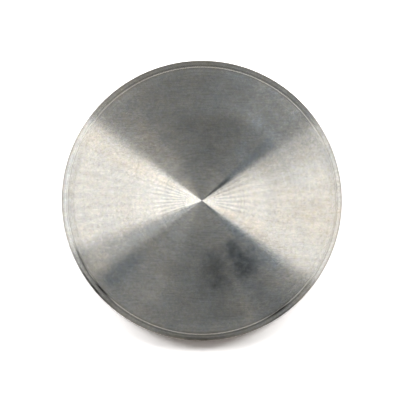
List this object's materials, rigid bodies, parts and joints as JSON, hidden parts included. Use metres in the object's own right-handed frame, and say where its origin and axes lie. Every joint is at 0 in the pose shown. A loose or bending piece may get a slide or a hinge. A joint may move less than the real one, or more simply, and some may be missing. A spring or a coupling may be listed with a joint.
{
  "type": "titanium disc",
  "caption": "Round titanium blank with a finely turned flat face raised above a narrow collar step on each side, ready to be clamped by its rim and machined.",
  "frame": {"origin": "centre of the back face, on the surface that the disc lies on", "axes": "+Z along the turning axis, from the back face to the front face; +X and +Y across the face, with +Y towards the top of the picture"},
  "size_m": [0.0984, 0.0984, 0.014],
  "materials": {
    "turned_titanium": "fine turned, warm grey, bare metal"
  },
  "bodies": {
    "root": {"disc": "turned_titanium"}
  },
  "joints": []
}
